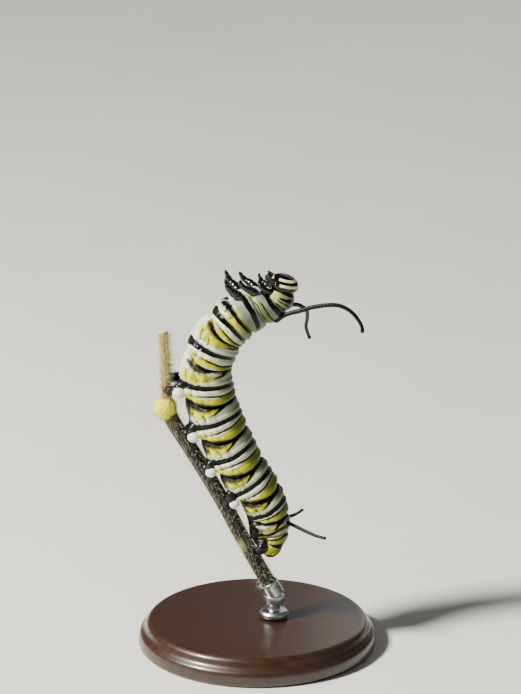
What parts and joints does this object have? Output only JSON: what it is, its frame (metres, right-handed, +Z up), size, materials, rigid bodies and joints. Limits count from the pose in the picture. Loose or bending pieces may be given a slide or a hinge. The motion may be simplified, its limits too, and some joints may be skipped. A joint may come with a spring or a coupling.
{
  "type": "monarch larva",
  "caption": "Life-size monarch larva, banded black, white and yellow, head up on a short length of milkweed stem, held on a plain round display stand.",
  "frame": {"origin": "centre of the stand base's underside, on the surface it stands on", "axes": "+Z up; the larva's body lies in the XZ plane with its back toward +X low down and its left side toward -Y"},
  "size_m": [0.031, 0.031, 0.0507],
  "materials": {
    "banded_skin": "satin",
    "black_capsule": "gloss",
    "black_flesh": "satin",
    "plant_stem": "matte",
    "stand_wood": "satin",
    "stand_steel": "satin"
  },
  "bodies": {
    "root": {"abdomen_1": "banded_skin", "abdomen_2": "banded_skin", "abdomen_3": "banded_skin", "abdomen_4": "banded_skin", "abdomen_5": "banded_skin", "abdomen_6": "banded_skin", "abdomen_7": "banded_skin", "abdomen_8": "banded_skin", "abdomen_9": "banded_skin", "abdomen_10": "banded_skin", "metathorax": "banded_skin", "mesothorax": "banded_skin", "prothorax": "banded_skin", "head": "black_capsule", "labrum": "black_capsule", "mandible_L": "black_capsule", "mandible_R": "black_capsule", "antenna_L": "black_capsule", "antenna_R": "black_capsule", "leg_T1_L": "black_capsule", "leg_T1_R": "black_capsule", "leg_T2_L": "black_capsule", "leg_T2_R": "black_capsule", "leg_T3_L": "black_capsule", "leg_T3_R": "black_capsule", "proleg_A3_L": "black_flesh", "proleg_A3_R": "black_flesh", "proleg_A4_L": "black_flesh", "proleg_A4_R": "black_flesh", "proleg_A5_L": "black_flesh", "proleg_A5_R": "black_flesh", "proleg_A6_L": "black_flesh", "proleg_A6_R": "black_flesh", "anal_proleg_L": "black_flesh", "anal_proleg_R": "black_flesh", "front_filament_L": "black_flesh", "front_filament_R": "black_flesh", "rear_filament_L": "black_flesh", "rear_filament_R": "black_flesh", "perch_stem": "plant_stem", "stand_base": "stand_wood", "stand_rod": "stand_steel"}
  },
  "joints": []
}
